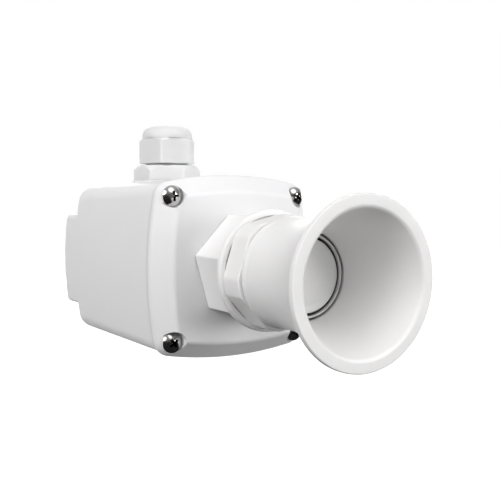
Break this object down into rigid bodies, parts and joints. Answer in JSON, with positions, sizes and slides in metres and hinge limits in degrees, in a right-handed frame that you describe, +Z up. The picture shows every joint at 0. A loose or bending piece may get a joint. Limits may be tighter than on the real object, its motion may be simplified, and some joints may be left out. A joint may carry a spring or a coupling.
{
  "type": "ultrasonic level transmitter",
  "caption": "White moulded level transmitter box with a screwed front lid, a hexagon-clamped ultrasonic sensor in a flared horn and a cable gland on top.",
  "frame": {"origin": "where the sensor's axis meets the flat rear face of the mounting block", "axes": "+Z up, +Y out of the rear mounting face, so the horn looks along -Y; +X is to the right as seen from the front"},
  "size_m": [0.077, 0.1929, 0.101],
  "materials": {
    "box_plastic": "fine satin moulding",
    "sensor_plastic": "satin, faintly warm",
    "gland_plastic": "satin",
    "transducer_face": "matte, faintly pitted",
    "dark_rubber": "matte",
    "plated_steel": "bright plated",
    "brass": "machined",
    "board_laminate": "lacquered",
    "terminal_plastic": "satin",
    "component_black": "matte",
    "can_aluminium": "sleeved can",
    "lead_jacket": "matte"
  },
  "bodies": {
    "transmitter": {"housing": "box_plastic", "front_lid": "box_plastic", "lid_gasket": "dark_rubber", "lid_screws": "plated_steel", "lid_inserts": "brass", "sensor_neck": "sensor_plastic", "neck_seal": "dark_rubber", "clamp_nut": "sensor_plastic", "jam_nut": "sensor_plastic", "horn": "sensor_plastic", "transducer": "transducer_face", "isolation_ring": "dark_rubber", "gland_body": "gland_plastic", "gland_washer": "dark_rubber", "gland_locknut": "gland_plastic", "gland_seal": "dark_rubber", "circuit_board": "board_laminate", "board_screws": "plated_steel", "terminal_block": "terminal_plastic", "terminal_screws": "plated_steel", "drive_transformer": "component_black", "capacitors": "can_aluminium", "processor_chip": "component_black", "sensor_socket": "terminal_plastic", "transducer_lead": "lead_jacket"},
    "gland_cap": {"gland_nut": "gland_plastic"}
  },
  "joints": [
    {"name": "gland_nut_turn", "type": "hinge", "parent": "transmitter", "child": "gland_cap", "pos_m": [0, -0.0445, 0.0445], "axis": [0, 0, 1], "range_deg": [-330, 510]}
  ]
}
